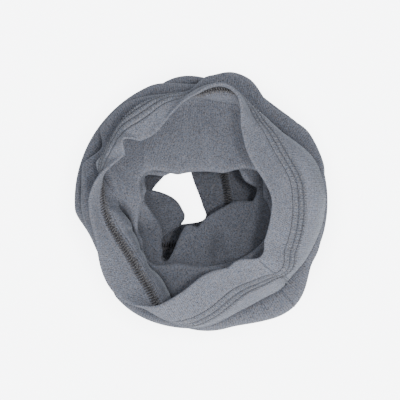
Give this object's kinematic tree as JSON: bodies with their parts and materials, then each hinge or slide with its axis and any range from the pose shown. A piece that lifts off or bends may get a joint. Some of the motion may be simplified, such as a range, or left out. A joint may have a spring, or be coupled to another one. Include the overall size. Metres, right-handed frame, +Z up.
{
  "type": "neck warmer",
  "caption": "Soft grey jersey tube with turned hems, set down in loose rolls round an open middle; pulled over the head, it warms the neck.",
  "frame": {"origin": "middle of the bounding box, on the surface that the neck warmer lies on", "axes": "+Z up through the open middle; +X to the right and +Y to the back as the picture shows it, with the collar lobe at the back left and the side seam's corner at the front right"},
  "size_m": [0.2272, 0.2288, 0.0963],
  "materials": {
    "jersey": "matt melange jersey, slightly brushed",
    "hem": "matt melange jersey, turned double and twin-needle stitched"
  },
  "bodies": {
    "root": {"body": "jersey", "upper_hem": "hem", "lower_hem": "hem"}
  },
  "joints": []
}
